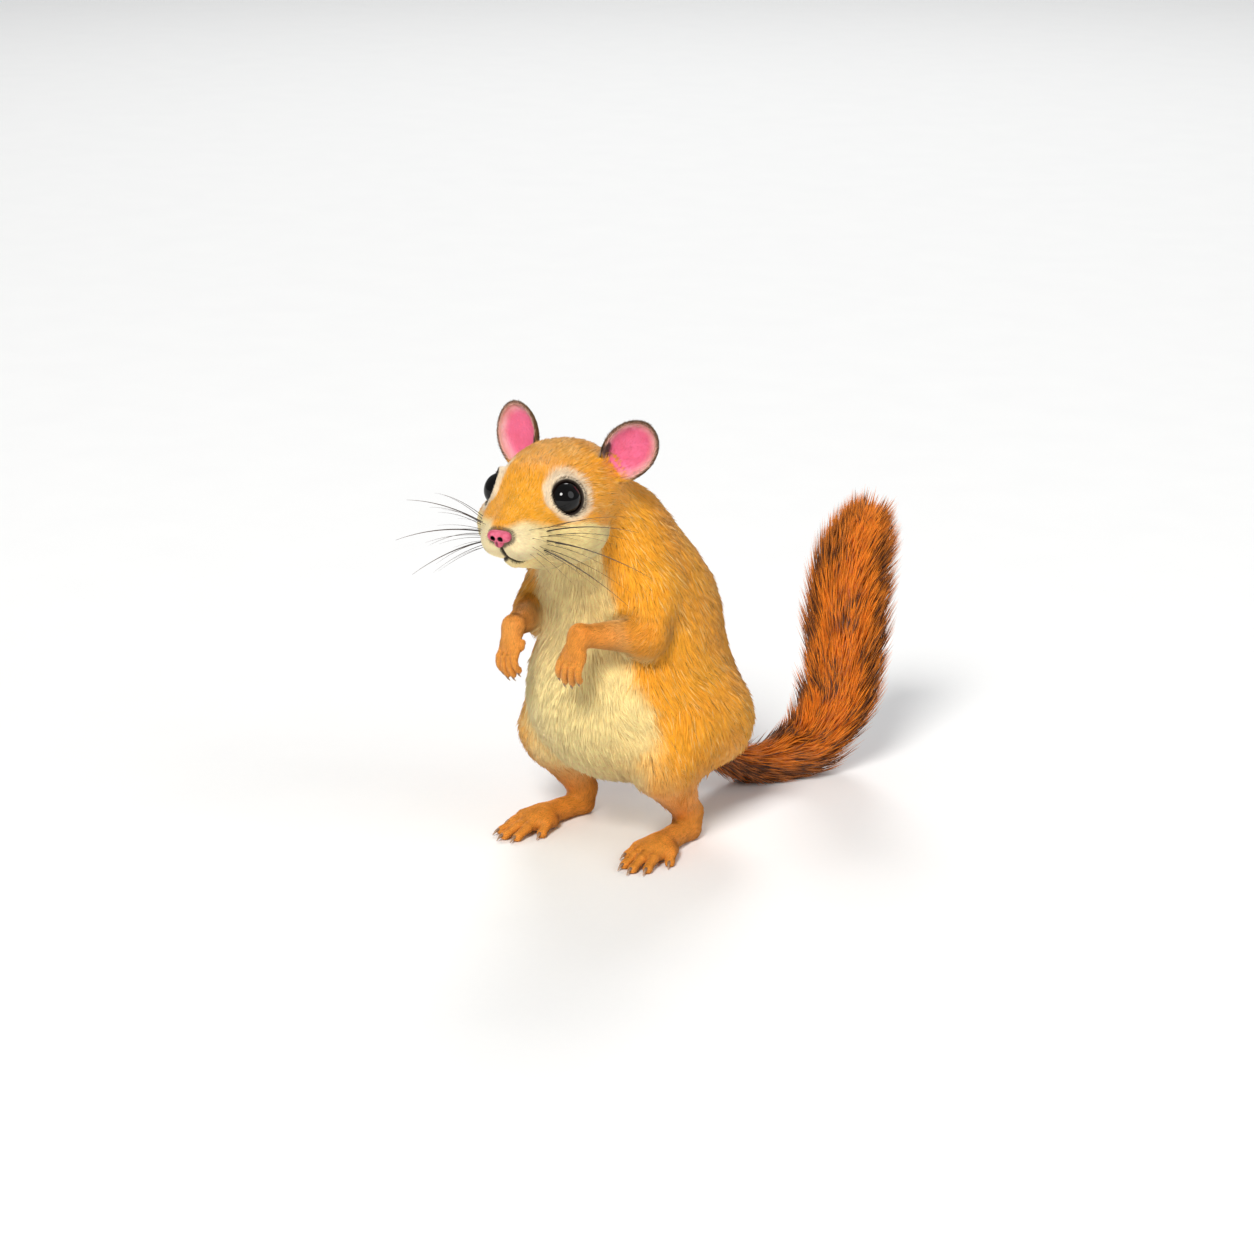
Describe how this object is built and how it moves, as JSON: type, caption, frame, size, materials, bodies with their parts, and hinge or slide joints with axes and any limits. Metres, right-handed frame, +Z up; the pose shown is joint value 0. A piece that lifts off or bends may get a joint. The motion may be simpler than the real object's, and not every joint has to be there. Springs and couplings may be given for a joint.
{
  "type": "gerbil",
  "caption": "Life-size gerbil standing upright on its hind feet, forepaws at its chest, long bushy tail laid on the floor and curling up behind.",
  "frame": {"origin": "middle of the bounding box's footprint, on the floor plane", "axes": "-Y the way the chest faces, +X the animal's left, +Z up"},
  "size_m": [0.0666, 0.1292, 0.1089],
  "materials": {
    "fur_gold": "soft golden-orange fur",
    "fur_cream": "soft cream fur on the front, golden on the back",
    "fur_rust": "bushy rust-brown tail fur with black tips",
    "paw": "short tan-orange fur over skin, dark claws",
    "ear_skin": "thin pink skin, dark rim",
    "nose_skin": "moist pink skin",
    "eye": "wet black gloss"
  },
  "bodies": {
    "root": {"torso": "fur_cream", "neck": "fur_gold", "head": "fur_gold", "nose": "nose_skin", "eye_left": "eye", "eye_right": "eye", "whisker_pad_left": "fur_cream", "whisker_pad_right": "fur_cream", "ear_left": "ear_skin", "ear_right": "ear_skin", "upper_arm_left": "fur_gold", "upper_arm_right": "fur_gold", "forearm_left": "paw", "forearm_right": "paw", "forepaw_left": "paw", "forepaw_right": "paw", "thigh_left": "fur_gold", "thigh_right": "fur_gold", "shank_left": "paw", "shank_right": "paw", "foot_left": "paw", "foot_right": "paw", "tail_root": "fur_rust", "tail_bend": "fur_rust", "tail_rise": "fur_rust", "tail_brush": "fur_rust", "tail_tip": "fur_rust"}
  },
  "joints": []
}
